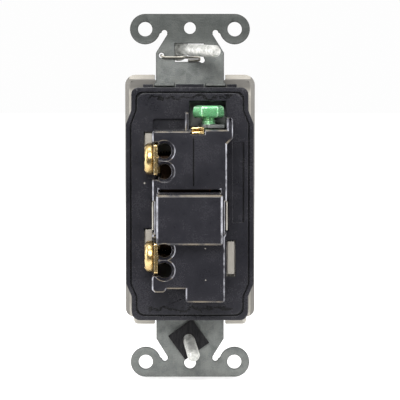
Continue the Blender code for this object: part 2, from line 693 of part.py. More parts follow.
def build():
    """Model every piece."""
    clear_scene()
    parts = collection("decorator_rocker_switch")
    tools = collection("cutters")
    black = material("black_plastic", (0.038, 0.038, 0.042), 0.35, 0.0)
    grey = material("grey_plastic", (0.38, 0.36, 0.31), 0.45, 0.0)
    steel = material("galvanised_steel", (0.26, 0.27, 0.265), 0.45, 1.0)
    screw_steel = material("zinc_screw", (0.55, 0.56, 0.56), 0.3, 1.0)
    brass = material("brass", (0.78, 0.55, 0.22), 0.25, 1.0)
    copper = material("copper_alloy", (0.72, 0.36, 0.2), 0.35, 1.0)
    silver = material("silver_contact", (0.8, 0.79, 0.76), 0.3, 1.0)
    green = material("green_screw", (0.12, 0.55, 0.22), 0.3, 1.0)
    spring_steel = material("spring_steel", (0.5, 0.5, 0.5), 0.3, 1.0)
    fibre = material("black_fibre", (0.02, 0.02, 0.022), 0.8, 0.0)

    finish(mounting_strap(parts, tools), steel)
    finish(front_frame(parts, tools), grey)
    finish(back_body(parts, tools), black)

    rocker_pivot = pivot_empty("rocker_pivot", (0, ROCKER_PIVOT_Y, 0), parts)
    moving = [
        finish(rocker_shell(parts, tools), grey),
        finish(actuator_plunger(parts), brass, True),
        finish(actuator_spring(parts), spring_steel, True),
    ]
    for tool in tools.objects:
        if tool.name.startswith(("rocker hollow", "trunnion boss", "trunnion", "post")):
            if not tool.name.startswith("trunnion hole"):
                moving.append(tool)
    for piece in moving:
        hang(piece, rocker_pivot)
    rocker_pivot.rotation_euler = (ROCKER_TILT, 0, 0)

    arm_pivot = pivot_empty("contact_arm_pivot", (MECHANISM_X, ARM_PIVOT_Y, 0), parts)
    swinging = [
        finish(contact_arm(parts, tools), copper),
        finish(contact_button("moving_contact", 13.5, parts), silver, True),
    ]
    swinging += [tool for tool in tools.objects if tool.name.startswith("stiffening lip")]
    for piece in swinging:
        hang(piece, arm_pivot)
    arm_pivot.rotation_euler = (-ARM_TILT, 0, 0)

    upper_leg = ((-1.5, 5.4), (14.3, 15.1))
    upper = terminal("upper_terminal", UPPER_TERMINAL_Z, -1, *upper_leg, parts, tools)
    cradle_x = (MECHANISM_X - 2, MECHANISM_X + 2)
    join(upper, block("cradle edge", cradle_x, (13.6, 14.6), (-0.4, 0.4), tools))
    finish(upper, brass)
    lower_leg = ((-10.1, -6.0), (16.5, 17.3))
    lower = terminal("lower_terminal", LOWER_TERMINAL_Z, 1, *lower_leg, parts, tools)
    finish(lower, brass)
    finish(contact_button("fixed_contact", 15.4, parts), silver, True)
    for place, centre in (("upper", UPPER_TERMINAL_Z), ("lower", LOWER_TERMINAL_Z)):
        finish(terminal_screw(f"{place}_terminal_screw", centre, parts, tools), brass, True)
        finish(pressure_plate(f"{place}_pressure_plate", centre, parts, tools), brass)

    finish(ground_screw(parts, tools), green)
    finish(ground_clip(parts), brass)
    upper_axis = (-math.sin(UPPER_SCREW_LEAN), math.cos(UPPER_SCREW_LEAN), -0.045)
    lower_axis = (-0.084, 1, -0.116)
    upper_screw = box_screw("upper_mounting_screw", UPPER_SCREW_AT, upper_axis, 3.2, parts, tools)
    lower_screw = box_screw("lower_mounting_screw", LOWER_SCREW_AT, lower_axis, 3.4, parts, tools)
    finish(upper_screw, screw_steel, True)
    finish(lower_screw, screw_steel, True)
    finish(auto_ground_clip(parts), spring_steel, True)
    finish(screw_retainer(parts), fibre)


build()
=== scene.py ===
"""Looks of a single-pole decorator rocker switch, wiring side towards +Y, Z up, in metres."""

import json
import math

import bmesh
import bpy
from mathutils import Matrix, Vector


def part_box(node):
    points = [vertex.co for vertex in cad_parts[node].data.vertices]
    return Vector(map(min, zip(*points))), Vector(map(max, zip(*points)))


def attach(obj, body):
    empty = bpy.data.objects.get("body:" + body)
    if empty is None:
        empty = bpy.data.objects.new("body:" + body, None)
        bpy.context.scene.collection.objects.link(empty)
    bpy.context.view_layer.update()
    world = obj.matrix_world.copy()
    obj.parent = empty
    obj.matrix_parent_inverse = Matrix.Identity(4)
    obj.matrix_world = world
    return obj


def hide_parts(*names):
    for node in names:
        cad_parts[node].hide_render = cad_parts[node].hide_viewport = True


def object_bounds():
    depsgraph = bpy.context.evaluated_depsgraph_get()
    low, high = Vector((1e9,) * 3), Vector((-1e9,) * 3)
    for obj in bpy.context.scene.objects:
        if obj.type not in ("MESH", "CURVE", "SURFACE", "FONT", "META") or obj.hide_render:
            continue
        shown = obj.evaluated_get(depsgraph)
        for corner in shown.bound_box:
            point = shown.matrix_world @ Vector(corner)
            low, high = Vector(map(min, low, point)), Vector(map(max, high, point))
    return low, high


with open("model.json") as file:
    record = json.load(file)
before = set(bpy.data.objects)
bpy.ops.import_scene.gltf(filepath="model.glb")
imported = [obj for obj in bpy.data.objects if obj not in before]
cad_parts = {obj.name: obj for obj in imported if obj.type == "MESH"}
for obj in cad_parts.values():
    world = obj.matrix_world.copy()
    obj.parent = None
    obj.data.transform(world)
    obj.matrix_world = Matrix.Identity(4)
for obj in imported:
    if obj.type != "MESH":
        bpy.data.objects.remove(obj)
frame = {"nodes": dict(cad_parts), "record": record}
cad_box = [list(corner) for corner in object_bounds()]

MM = 0.001
BODIES = frame["record"]["behaviour"]["bodies"]
BODY_OF = {node: body for body, nodes in BODIES.items() for node in nodes}
SLOT_OF = {entry["node"]: entry["material_slot"] for entry in frame["record"]["subparts"]}

# Screw threads, in metres: number 8 and number 6, both 32 turns an inch.
PITCH = 25.4 / 32 * MM
EIGHT_RADIUS = 2.05 * MM
SIX_RADIUS = 1.72 * MM
THREAD_DEPTH = 0.42 * MM
UPPER_TURN = math.radians(27.0)
UPPER_LEAN = Vector((-math.sin(UPPER_TURN), math.cos(UPPER_TURN), -0.045)).normalized()
LOWER_LEAN = Vector((-0.084, 1.0, -0.116)).normalized()

# Places on the body and frame where the colour changes, mostly for painted highlights and painted
# shade: levels, distances across and heights.
# A groove is given by its distance across, its lower and upper end, and the depth it starts at.
DECK_LEVEL = 8.0 * MM
RIM_X = 17.45 * MM
RIM_Z = 33.8 * MM
INNER_X = 8.6 * MM
FLASH_TOP = 28.6 * MM
FLASH_LOW = -31.6 * MM
FLASH_WANDER = 0.9 * MM
GAUGE_GROOVE = (-1.1 * MM, (4.0 * MM, 17.3 * MM), 19.0 * MM)
PANEL_EDGE = (-15.2 * MM, (-6.9 * MM, 15.9 * MM), 7.0 * MM)

# Edges beyond the first turn get an arris; those beyond the second stay sharp in the shading.
SHARP_TURN = math.radians(32)
CORNER_TURN = math.radians(50)
LEVEL_EDGE = 0.55

# Studio: floor drop, camera distance and view width in metres, sensor and aim in millimetres.
SURROUND_GLOW = 0.985
FLOOR_DROP = 0.0006
FLOOR_GREY = (0.85, 0.85, 0.85)
FLOOR_GLOW = 0.22
FLOOR_HALF = 6.0
CARD_GREY = (0.10, 0.10, 0.105)
SENSOR_WIDTH = 36.0
CAMERA_DISTANCE = 0.5
CAMERA_ELEVATION = math.radians(3.6)
CAMERA_AIM = (-2.89, 0.0, -1.01)
VIEW_WIDTH = 0.11544

# Light panels: name, place, size in metres, and strength. All point at the origin.
PANELS = (
    ("left_panel", (0.60, 0.06, 0.10), (0.10, 0.70), 2.2),
    ("right_panel", (-0.60, 0.08, 0.10), (0.10, 0.70), 2.2),
    ("camera_key", (0.05, 0.55, 0.30), (0.25, 0.25), 2.6),
    ("top_panel", (0.0, 0.15, 0.70), (0.60, 0.30), 2.0),
    ("front_panel", (0.25, -0.70, 0.45), (0.50, 0.50), 2.0),
)


# Node helpers -------------------------------------------------------------------


def new_group(name, inputs, outputs):
    """A shader node group with named sockets; returns the tree and its two end nodes."""
    tree = bpy.data.node_groups.new(name, "ShaderNodeTree")
    for label, kind, value in inputs:
        socket = tree.interface.new_socket(label, in_out="INPUT", socket_type=kind)
        if value is not None:
            socket.default_value = value
    for label, kind in outputs:
        tree.interface.new_socket(label, in_out="OUTPUT", socket_type=kind)
    return tree, tree.nodes.new("NodeGroupInput"), tree.nodes.new("NodeGroupOutput")


def noise(nodes, links, vector, scale, detail=3.0, roughness=0.55):
    """A noise texture; scale may be a number or a socket."""
    made = nodes.new("ShaderNodeTexNoise")
    made.inputs["Detail"].default_value = detail
    made.inputs["Roughness"].default_value = roughness
    links.new(vector, made.inputs["Vector"])
    if isinstance(scale, (int, float)):
        made.inputs["Scale"].default_value = scale
    else:
        links.new(scale, made.inputs["Scale"])
    return made


def math_node(nodes, links, operation, first, second=None, clamp=False):
    """A math node whose inputs may be numbers or sockets."""
    made = nodes.new("ShaderNodeMath")
    made.operation = operation
    made.use_clamp = clamp
    for socket, value in zip(made.inputs, (first, second)):
        if value is None:
            continue
        if isinstance(value, (int, float)):
            socket.default_value = value
        else:
            links.new(value, socket)
    return made.outputs[0]


def ramp(nodes, links, value, low, high, out_low=0.0, out_high=1.0):
    """Map a value from one range to another, smoothly and clamped."""
    made = nodes.new("ShaderNodeMapRange")
    made.interpolation_type = "SMOOTHSTEP"
    made.inputs["From Min"].default_value = low
    made.inputs["From Max"].default_value = high
    made.inputs["To Min"].default_value = out_low
    made.inputs["To Max"].default_value = out_high
    links.new(value, made.inputs["Value"])
    return made.outputs["Result"]


def mix_colour(nodes, links, factor, first, second):
    """Blend two colours; each may be a tuple or a socket."""
    made = nodes.new("ShaderNodeMix")
    made.data_type = "RGBA"
    links.new(factor, made.inputs["Factor"])
    for socket, value in ((made.inputs["A"], first), (made.inputs["B"], second)):
        target = [s for s in made.inputs if s.name == socket.name and s.type == "RGBA"][0]
        if isinstance(value, tuple):
            target.default_value = (*value, 1.0)
        else:
            links.new(value, target)
    return [s for s in made.outputs if s.type == "RGBA"][0]


# Shared effects -----------------------------------------------------------------


def make_cloudy_tone():
    """Slow and fine mottling between two colours, with a height for bump."""
    tree, given, out = new_group(
        "cloudy_tone",
        [
            ("Vector", "NodeSocketVector", None),
            ("Patch Scale", "NodeSocketFloat", 300.0),
            ("Grain Scale", "NodeSocketFloat", 2500.0),
            ("Dark", "NodeSocketColor", (0.1, 0.1, 0.1, 1.0)),
            ("Light", "NodeSocketColor", (0.2, 0.2, 0.2, 1.0)),
        ],
        [("Colour", "NodeSocketColor"), ("Tone", "NodeSocketFloat"), ("Grain", "NodeSocketFloat")],
    )
    nodes, links = tree.nodes, tree.links
    patches = noise(nodes, links, given.outputs["Vector"], given.outputs["Patch Scale"], 4.0)
    grain = noise(nodes, links, given.outputs["Vector"], given.outputs["Grain Scale"], 2.0, 0.7)
    slow = ramp(nodes, links, patches.outputs["Fac"], 0.3, 0.7)
    fast = ramp(nodes, links, grain.outputs["Fac"], 0.25, 0.75)
    slow_part = math_node(nodes, links, "MULTIPLY", slow, 0.55)
    fast_part = math_node(nodes, links, "MULTIPLY", fast, 0.45)
    tone = math_node(nodes, links, "ADD", slow_part, fast_part, True)
    colour = mix_colour(nodes, links, tone, given.outputs["Dark"], given.outputs["Light"])
    links.new(colour, out.inputs["Colour"])
    links.new(tone, out.inputs["Tone"])
    links.new(fast, out.inputs["Grain"])
    return tree


def make_edge_wear_and_highlight():
    """Where corners are scuffed, and where painted edge highlights go: the edge attribute, broken
    up by noise.
    """
    tree, given, out = new_group(
        "edge_wear_and_highlight",
        [
            ("Vector", "NodeSocketVector", None),
            ("Edge", "NodeSocketFloat", 0.0),
            ("Breakup Scale", "NodeSocketFloat", 900.0),
            ("Amount", "NodeSocketFloat", 0.6),
        ],
        [("Edge Mask", "NodeSocketFloat")],
    )
    nodes, links = tree.nodes, tree.links
    broken = noise(nodes, links, given.outputs["Vector"], given.outputs["Breakup Scale"], 4.0)
    patchy = ramp(nodes, links, broken.outputs["Fac"], 0.35, 0.62)
    near = ramp(nodes, links, given.outputs["Edge"], 0.15, 0.8)
    edge_marked = math_node(nodes, links, "MULTIPLY", patchy, near)
    edge_mask = math_node(nodes, links, "MULTIPLY", edge_marked, given.outputs["Amount"], True)
    links.new(edge_mask, out.inputs["Edge Mask"])
    return tree


def make_dust_specks():
    """Sparse pale specks of lint and moulding dust."""
    tree, given, out = new_group(
        "dust_specks",
        [
            ("Vector", "NodeSocketVector", None),
            ("Spacing Scale", "NodeSocketFloat", 450.0),
            ("Speck Size", "NodeSocketFloat", 0.09),
            ("Share", "NodeSocketFloat", 0.9),
        ],
        [("Speck", "NodeSocketFloat")],
    )
    nodes, links = tree.nodes, tree.links
    cells = nodes.new("ShaderNodeTexVoronoi")
    links.new(given.outputs["Vector"], cells.inputs["Vector"])
    links.new(given.outputs["Spacing Scale"], cells.inputs["Scale"])
    apart = nodes.new("ShaderNodeSeparateColor")
    links.new(cells.outputs["Color"], apart.inputs["Color"])
    chosen = math_node(nodes, links, "GREATER_THAN", apart.outputs["Red"], given.outputs["Share"])
    size = math_node(nodes, links, "MULTIPLY", apart.outputs["Green"], given.outputs["Speck Size"])
    inside = math_node(nodes, links, "LESS_THAN", cells.outputs["Distance"], size)
    links.new(math_node(nodes, links, "MULTIPLY", chosen, inside), out.inputs["Speck"])
    return tree


CLOUDY_TONE = make_cloudy_tone()
EDGE_WEAR_AND_HIGHLIGHT = make_edge_wear_and_highlight()
DUST_SPECKS = make_dust_specks()


class Finish:
    """A material under construction: its tree, its shader and the shared inputs."""

    def __init__(self, name):
        """Start a material and find its shader, its object coordinates and its edge mask."""
        self.material = bpy.data.materials.new(name)
        self.material.use_nodes = True
        self.nodes = self.material.node_tree.nodes
        self.links = self.material.node_tree.links
        self.shader = self.nodes["Principled BSDF"]
        self.place = self.nodes.new("ShaderNodeTexCoord").outputs["Object"]
        attribute = self.nodes.new("ShaderNodeAttribute")
        attribute.attribute_name = "edge"
        self.edge = attribute.outputs["Fac"]

    def fixed(self, **values):
        """Numbers that are the same all over the surface."""
        for label, value in values.items():
            self.shader.inputs[label.replace("_", " ")].default_value = value

    def group(self, tree, **values):
        """Place a shared effect with its own values."""
        made = self.nodes.new("ShaderNodeGroup")
        made.node_tree = tree
        self.links.new(self.place, made.inputs["Vector"])
        for label, value in values.items():
            socket = made.inputs[label.replace("_", " ")]
            if isinstance(value, bpy.types.NodeSocket):
                self.links.new(value, socket)
            else:
                socket.default_value = (*value, 1.0) if isinstance(value, tuple) else value
        return made.outputs

    def math(self, operation, first, second=None, clamp=False):
        """A math node in this material."""
        return math_node(self.nodes, self.links, operation, first, second, clamp)

    def ramp(self, value, low, high, out_low=0.0, out_high=1.0):
        """A smooth clamped range in this material."""
        return ramp(self.nodes, self.links, value, low, high, out_low, out_high)

    def mix(self, factor, first, second):
        """A blend of two colours in this material."""
        return mix_colour(self.nodes, self.links, factor, first, second)

    def noise(self, vector, scale, detail=3.0, roughness=0.55):
        """A noise pattern in this material."""
        return noise(self.nodes, self.links, vector, scale, detail, roughness)

    def split(self, vector):
        """The three coordinates of a vector."""
        made = self.nodes.new("ShaderNodeSeparateXYZ")
        self.links.new(vector, made.inputs["Vector"])
        return made.outputs

    def feed(self, label, socket):
        """Connect a socket to the shader."""
        self.links.new(socket, self.shader.inputs[label])

    def bump(self, height, distance, strength=1.0):
        """Bump from a height, in metres."""
        made = self.nodes.new("ShaderNodeBump")
        made.inputs["Distance"].default_value = distance
        made.inputs["Strength"].default_value = strength
        self.links.new(height, made.inputs["Height"])
        self.feed("Normal", made.outputs["Normal"])


def axis_ramp(finish, axis, low, high, both_sides=False):
    """0 to 1 between two distances from the origin along one axis, in metres."""
    along_axis = finish.split(finish.place)[axis]
    if both_sides:
        along_axis = finish.math("ABSOLUTE", along_axis)
    return finish.ramp(along_axis, low, high)


def flash_line_shade(finish, level):
    """1 on a thin ragged line across the deck at a height, where moulding flash was broken away;
    the line carries painted shade for its small groove.
    """
    torn = finish.noise(finish.place, 420.0, 5.0, 0.75)
    wander = finish.ramp(torn.outputs["Fac"], 0.3, 0.7, -FLASH_WANDER, FLASH_WANDER)
    height = finish.math("SUBTRACT", finish.split(finish.place)["Z"], level)
    distance = finish.math("ABSOLUTE", finish.math("ADD", height, wander))
    line = finish.ramp(distance, 0.24 * MM, 0.40 * MM, 1.0, 0.0)
    aside = axis_ramp(finish, "X", 11.0 * MM, 13.0 * MM, True)
    raised = axis_ramp(finish, "Y", DECK_LEVEL + 0.3 * MM, DECK_LEVEL + 0.6 * MM)
    inside = finish.ramp(aside, 0.0, 1.0, 1.0, 0.0)
    on_deck = finish.ramp(raised, 0.0, 1.0, 1.0, 0.0)
    return finish.math("MULTIPLY", line, finish.math("MULTIPLY", inside, on_deck))


def upright_line(finish, centre, heights, from_depth):
    """1 along a narrow upright groove, between two heights and from a depth back."""
    place = finish.split(finish.place)
    aside = finish.math("ABSOLUTE", finish.math("SUBTRACT", place["X"], centre))
    line = finish.ramp(aside, 0.17 * MM, 0.23 * MM, 1.0, 0.0)
    above = finish.ramp(place["Z"], heights[0], heights[0] + 0.1 * MM)
    below = finish.ramp(place["Z"], heights[1], heights[1] + 0.1 * MM, 1.0, 0.0)
    behind = finish.ramp(place["Y"], from_depth, from_depth + 0.1 * MM)
    span = finish.math("MULTIPLY", above, below)
    return finish.math("MULTIPLY", finish.math("MULTIPLY", line, span), behind)


def galvanised_strap():
    """Hot-dip zinc: greenish grey with soft spangle and fine rolling grain, with painted shade on
    the cut edges and towards the top ears.
    """
    f = Finish("galvanised_strap")
    f.fixed(Metallic=0.8)
    tone = f.group(
        CLOUDY_TONE, Patch_Scale=330.0, Grain_Scale=2600.0,
        Dark=(0.105, 0.113, 0.108), Light=(0.195, 0.205, 0.197),
    )
    spangle = f.nodes.new("ShaderNodeTexVoronoi")
    spangle.inputs["Scale"].default_value = 420.0
    f.links.new(f.place, spangle.inputs["Vector"])
    apart = f.nodes.new("ShaderNodeSeparateColor")
    f.links.new(spangle.outputs["Color"], apart.inputs["Color"])
    flake = f.ramp(apart.outputs["Red"], 0.0, 1.0, 0.0, 0.28)
    spangled = f.mix(flake, tone["Colour"], (0.23, 0.235, 0.22))
    # Painted shade: the strap is darkened towards the top ears.
    upper = axis_ramp(f, "Z", 40.0 * MM, 47.0 * MM)
    painted_top_shade = f.math("MULTIPLY", upper, 0.75)
    spangled = f.mix(painted_top_shade, spangled, (0.045, 0.049, 0.046))
    # Painted shade: the cut edges and hole rims are darkened.
    painted_edge_shade = f.ramp(f.edge, 0.0, LEVEL_EDGE, 0.0, 0.85)
    f.feed("Base Color", f.mix(painted_edge_shade, spangled, (0.030, 0.031, 0.028)))
    f.feed("Roughness", f.ramp(tone["Tone"], 0.0, 1.0, 0.58, 0.42))
    f.bump(tone["Grain"], 0.00003)
    return f.material


def moulded_black():
    """Black thermoset body: glossy moulding skin, painted highlights on the platform edges, painted
    shade in the grooves and along the flash lines, and a few pale specks.
    """
    f = Finish("moulded_black")
    f.fixed(Metallic=0.0, Specular_IOR_Level=0.42)
    tone = f.group(
        CLOUDY_TONE, Patch_Scale=160.0, Grain_Scale=3200.0,
        Dark=(0.0095, 0.0095, 0.0125), Light=(0.0165, 0.016, 0.021),
    )
    # Painted highlights on the raised platform's arrises: tan on level ones, bluish white on
    # upright ones.
    edge_mask = f.group(EDGE_WEAR_AND_HIGHLIGHT, Edge=f.edge, Breakup_Scale=260.0, Amount=0.85)["Edge Mask"]
    raised = axis_ramp(f, "Y", DECK_LEVEL + 0.3 * MM, DECK_LEVEL + 4.0 * MM)
    arris_amount = f.math("MULTIPLY", edge_mask, raised, True)
    upright = f.ramp(f.edge, LEVEL_EDGE + 0.05, 0.95)
    edge_highlight_colour = f.mix(upright, (0.20, 0.165, 0.115), (0.36, 0.36, 0.40))
    # Painted shade: the floor of the deck groove is darkened to near black.
    groove_floor = axis_ramp(f, "Y", DECK_LEVEL - 1.1 * MM, DECK_LEVEL - 0.9 * MM)
    groove_top = axis_ramp(f, "Y", DECK_LEVEL - 0.55 * MM, DECK_LEVEL - 0.4 * MM)
    groove_shade = f.math("MULTIPLY", groove_floor, f.ramp(groove_top, 0.0, 1.0, 0.92, 0.0))
    # Painted shade along the two ragged flash lines.
    shade = f.math("MAXIMUM", groove_shade, flash_line_shade(f, FLASH_TOP))
    shade = f.math("MAXIMUM", shade, flash_line_shade(f, FLASH_LOW))
    # Painted shade in the gauge groove, and fainter along the panel edge.
    gauge_groove_shade = upright_line(f, *GAUGE_GROOVE)
    shade = f.math("MAXIMUM", shade, gauge_groove_shade)
    panel_edge_shade = upright_line(f, *PANEL_EDGE)
    faint_edge_shade = f.math("MULTIPLY", panel_edge_shade, 0.85)
    shade = f.math("MAXIMUM", shade, faint_edge_shade)
    skin = f.mix(shade, tone["Colour"], (0.0006, 0.0006, 0.0008))
    edge_marked = f.mix(arris_amount, skin, edge_highlight_colour)
    speck = f.group(DUST_SPECKS, Spacing_Scale=230.0, Speck_Size=0.07, Share=0.95)["Speck"]
    f.feed("Base Color", f.mix(speck, edge_marked, (0.32, 0.30, 0.27)))
    f.feed("Roughness", f.ramp(tone["Tone"], 0.0, 1.0, 0.17, 0.30))
    f.bump(tone["Grain"], 0.000010)
    return f.material


def moulded_grey(name, dark, light, rough, rim=None):
    """Warm grey moulded plastic with a fine sparked texture and, when a rim colour is given,
    painted shade on the outer slopes and below the top rim.
    """
    f = Finish(name)
    f.fixed(Metallic=0.0, Specular_IOR_Level=0.45)
    tone = f.group(CLOUDY_TONE, Patch_Scale=120.0, Grain_Scale=2800.0, Dark=dark, Light=light)
    edge_mask = f.group(EDGE_WEAR_AND_HIGHLIGHT, Edge=f.edge, Breakup_Scale=500.0, Amount=0.35)["Edge Mask"]
    edge_marked = f.mix(edge_mask, tone["Colour"], (0.55, 0.53, 0.48))
    speck = f.group(DUST_SPECKS, Spacing_Scale=260.0, Speck_Size=0.08, Share=0.95)["Speck"]
    if rim:
        # Painted shade: the outer side slopes and a band just below the top rim are darkened
        # towards the rim colour.
        side = axis_ramp(f, "X", RIM_X - 0.1 * MM, RIM_X + 0.2 * MM, True)
        above = axis_ramp(f, "Z", RIM_Z - 4.5 * MM, RIM_Z - 2.0 * MM)
        on_rim = axis_ramp(f, "Z", RIM_Z - 0.1 * MM, RIM_Z + 0.1 * MM)
        below_rim = f.ramp(on_rim, 0.0, 1.0, 0.8, 0.0)
        shade_below_rim = f.math("MULTIPLY", above, below_rim)
        slope = f.math("MAXIMUM", f.math("MULTIPLY", side, 0.8), shade_below_rim)
        edge_marked = f.mix(slope, edge_marked, rim)
    f.feed("Base Color", f.mix(speck, edge_marked, (0.12, 0.11, 0.09)))
    f.feed("Roughness", f.ramp(tone["Grain"], 0.0, 1.0, rough - 0.06, rough + 0.08))
    f.bump(tone["Grain"], 0.00002)
    return f.material


def metal(name, dark, light, bright, rough, metallic=1.0, shaded_inside=False):
    """Plated or plain metal: mottled tone, brighter scuffed edges and patchy polish, and, when
    asked, painted shade on the parts deep inside the body.
    """
    f = Finish(name)
    f.fixed(Metallic=metallic)
    tone = f.group(CLOUDY_TONE, Patch_Scale=420.0, Grain_Scale=2600.0, Dark=dark, Light=light)
    edge_mask = f.group(EDGE_WEAR_AND_HIGHLIGHT, Edge=f.edge, Breakup_Scale=1100.0, Amount=0.7)["Edge Mask"]
    surface = f.mix(edge_mask, tone["Colour"], bright)
    if shaded_inside:
        # Painted shade: brass deeper inside the body than INNER_X is darkened to dark brown.
        outside = axis_ramp(f, "X", INNER_X - 0.3 * MM, INNER_X + 0.2 * MM)
        surface = f.mix(outside, (0.028, 0.017, 0.011), surface)
    f.feed("Base Color", surface)
    f.feed("Roughness", f.ramp(tone["Tone"], 0.0, 1.0, rough[1], rough[0]))
    f.bump(tone["Grain"], 0.00002)
    return f.material


def fish_paper():
    """Black fibre sheet: matt, faintly fibrous, with a paler cut edge."""
    f = Finish("fish_paper")
    f.fixed(Metallic=0.0, Specular_IOR_Level=0.25)
    stretch = f.nodes.new("ShaderNodeMapping")
    stretch.inputs["Rotation"].default_value = (0.0, math.radians(38), 0.0)
    stretch.inputs["Scale"].default_value = (1.0, 1.0, 0.18)
    f.links.new(f.place, stretch.inputs["Vector"])
    fibres = f.noise(stretch.outputs["Vector"], 3000.0, 4.0, 0.7)
    strand = f.ramp(fibres.outputs["Fac"], 0.35, 0.7)
    sheet = f.mix(strand, (0.0045, 0.0045, 0.0055), (0.013, 0.012, 0.013))
    edge_mask = f.group(EDGE_WEAR_AND_HIGHLIGHT, Edge=f.edge, Breakup_Scale=900.0, Amount=0.5)["Edge Mask"]
    f.feed("Base Color", f.mix(edge_mask, sheet, (0.07, 0.065, 0.06)))
    f.feed("Roughness", f.ramp(strand, 0.0, 1.0, 0.9, 0.7))
    f.bump(strand, 0.00004)
    return f.material


FINISHES = {
    "galvanised_steel": galvanised_strap(),
    "black_plastic": moulded_black(),
    # Its last colour is the painted shade on the frame's outer slopes and below its top rim.
    "grey_plastic": moulded_grey(
        "frame_grey", (0.285, 0.265, 0.232), (0.375, 0.352, 0.308), 0.46, (0.07, 0.066, 0.06)
    ),
    "black_fibre": fish_paper(),
}
# Each metal slot: material name, dark and light colours, the colour of scuffing at edges, polish
# range, metallic.
METALS = {
    "spring_steel": (
        "spring_wire", (0.22, 0.21, 0.18), (0.42, 0.40, 0.35), (0.6, 0.58, 0.52),
        (0.24, 0.38), 1.0,
    ),
    "brass": (
        "plain_brass", (0.62, 0.40, 0.13), (0.90, 0.69, 0.34), (0.98, 0.86, 0.58),
        (0.14, 0.32), 1.0,
    ),
    "copper_alloy": (
        "arm_copper", (0.52, 0.24, 0.12), (0.8, 0.43, 0.25), (0.9, 0.6, 0.4),
        (0.22, 0.4), 1.0,
    ),
    "silver_contact": (
        "contact_silver", (0.6, 0.59, 0.56), (0.82, 0.8, 0.77), (0.92, 0.9, 0.88),
        (0.2, 0.4), 1.0,
    ),
    "green_screw": (
        "dyed_green", (0.08, 0.40, 0.14), (0.38, 0.84, 0.44), (0.75, 1.0, 0.78),
        (0.16, 0.34), 0.7,
    ),
    "zinc_screw": (
        "zinc_plate", (0.20, 0.21, 0.20), (0.50, 0.50, 0.47), (0.7, 0.69, 0.66),
        (0.32, 0.50), 0.6,
    ),
}
for metal_slot, recipe in METALS.items():
    FINISHES[metal_slot] = metal(*recipe)
# Terminal brass carries painted shade on its parts inside the body.
TERMINAL_BRASS = metal(
    "terminal_brass", (0.44, 0.29, 0.10), (0.74, 0.57, 0.29), (0.92, 0.80, 0.54),
    (0.12, 0.28), shaded_inside=True,
)
ROCKER_GREY = moulded_grey("rocker_grey", (0.33, 0.315, 0.28), (0.41, 0.39, 0.345), 0.36)


# Mesh helpers -------------------------------------------------------------------


def link(name, mesh):
    """A new object at the origin that holds the mesh."""
    made = bpy.data.objects.new(name, mesh)
    bpy.context.scene.collection.objects.link(made)
    return made


def applied(piece):
    """The evaluated object as a plain mesh on the same object."""
    bpy.context.view_layer.update()
    graph = bpy.context.evaluated_depsgraph_get()
    mesh = bpy.data.meshes.new_from_object(piece.evaluated_get(graph))
    piece.modifiers.clear()
    old = piece.data
    piece.data = mesh
    bpy.data.meshes.remove(old)
    mesh.name = piece.name
    return piece


def mark_edges(mesh):
    """Store how strongly each arris is marked, for scuffing, painted edge highlights and painted
    edge shade: 1 on upright ones, less on level ones, 0 on plain faces.
    """
    values = []
    for face in mesh.polygons:
        arris_amount = 1.0 if abs(face.normal.x) >= abs(face.normal.z) else LEVEL_EDGE
        values += [arris_amount * face.material_index] * face.loop_total
    attribute = mesh.attributes.new("edge", "FLOAT", "CORNER")
    attribute.data.foreach_set("value", values)
    for face in mesh.polygons:
        face.material_index = 0


def settle(piece, node, surface=None, body=None, stands_for=True):
    """Give a finished piece its material, its shading and its body, and hide the CAD part it stands
    for.
    """
    mesh = piece.data
    mark_edges(mesh)
    mesh.materials.clear()
    mesh.materials.append(surface or FINISHES[SLOT_OF[node]])
    mesh.set_sharp_from_angle(angle=CORNER_TURN)
    even = piece.modifiers.new("even shading", "WEIGHTED_NORMAL")
    even.keep_sharp = True
    applied(piece)
    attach(piece, body or BODY_OF[node])
    if stands_for:
        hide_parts(node)
    return piece


def merged_copy(node):
    """A merged copy of a CAD node: flat faces made whole, then cut into tidy triangles."""
    bm = bmesh.new()
    bm.from_mesh(frame["nodes"][node].data)
    bmesh.ops.remove_doubles(bm, verts=bm.verts, dist=1e-6)
    bmesh.ops.dissolve_limit(bm, angle_limit=math.radians(0.8), verts=bm.verts, edges=bm.edges)
    bmesh.ops.triangulate(bm, faces=bm.faces, quad_method="BEAUTY", ngon_method="BEAUTY")
    return bm


def everywhere(_middle):
    """The same arris on every edge, wherever the edge's middle is."""
    return 1.0


# Stand-in materials that tell plain faces from rounded ones until a piece is settled.
ARRIS_MARKS = [bpy.data.materials.new(name) for name in ("plain_face", "arris_face")]


def round_arrises(piece, width, segments, share=everywhere):
    """Add a bevel to the outer sharp edges; its faces are marked by the second material slot."""
    for mark in ARRIS_MARKS:
        piece.data.materials.append(mark)
    bm = bmesh.new()
    bm.from_mesh(piece.data)
    weight = bm.edges.layers.float.new("bevel_weight_edge")
    for face in bm.faces:
        face.material_index = 0
    for edge in bm.edges:
        if len(edge.link_faces) == 2 and edge.calc_face_angle_signed(0.0) > SHARP_TURN:
            edge[weight] = share((edge.verts[0].co + edge.verts[1].co) / 2)
    bm.to_mesh(piece.data)
    bm.free()
    bevel = piece.modifiers.new("arris", "BEVEL")
    bevel.width = width
    bevel.segments = segments
    bevel.limit_method = "WEIGHT"
    bevel.miter_outer = "MITER_ARC"
    bevel.use_clamp_overlap = False
    bevel.material = 1


def softened(node, name, width, segments=2, surface=None, share=everywhere):
    """A CAD node's shape with its arrises rounded as moulding or stamping leaves them."""
    bm = merged_copy(node)
    mesh = bpy.data.meshes.new(name)
    bm.to_mesh(mesh)
    bm.free()
    mesh.materials.clear()
    if mesh.has_custom_normals:
        mesh.attributes.remove(mesh.attributes["custom_normal"])
    piece = link(name, mesh)
    round_arrises(piece, width, segments, share)
    return settle(applied(piece), node, surface)


# Camera, light and floor --------------------------------------------------------


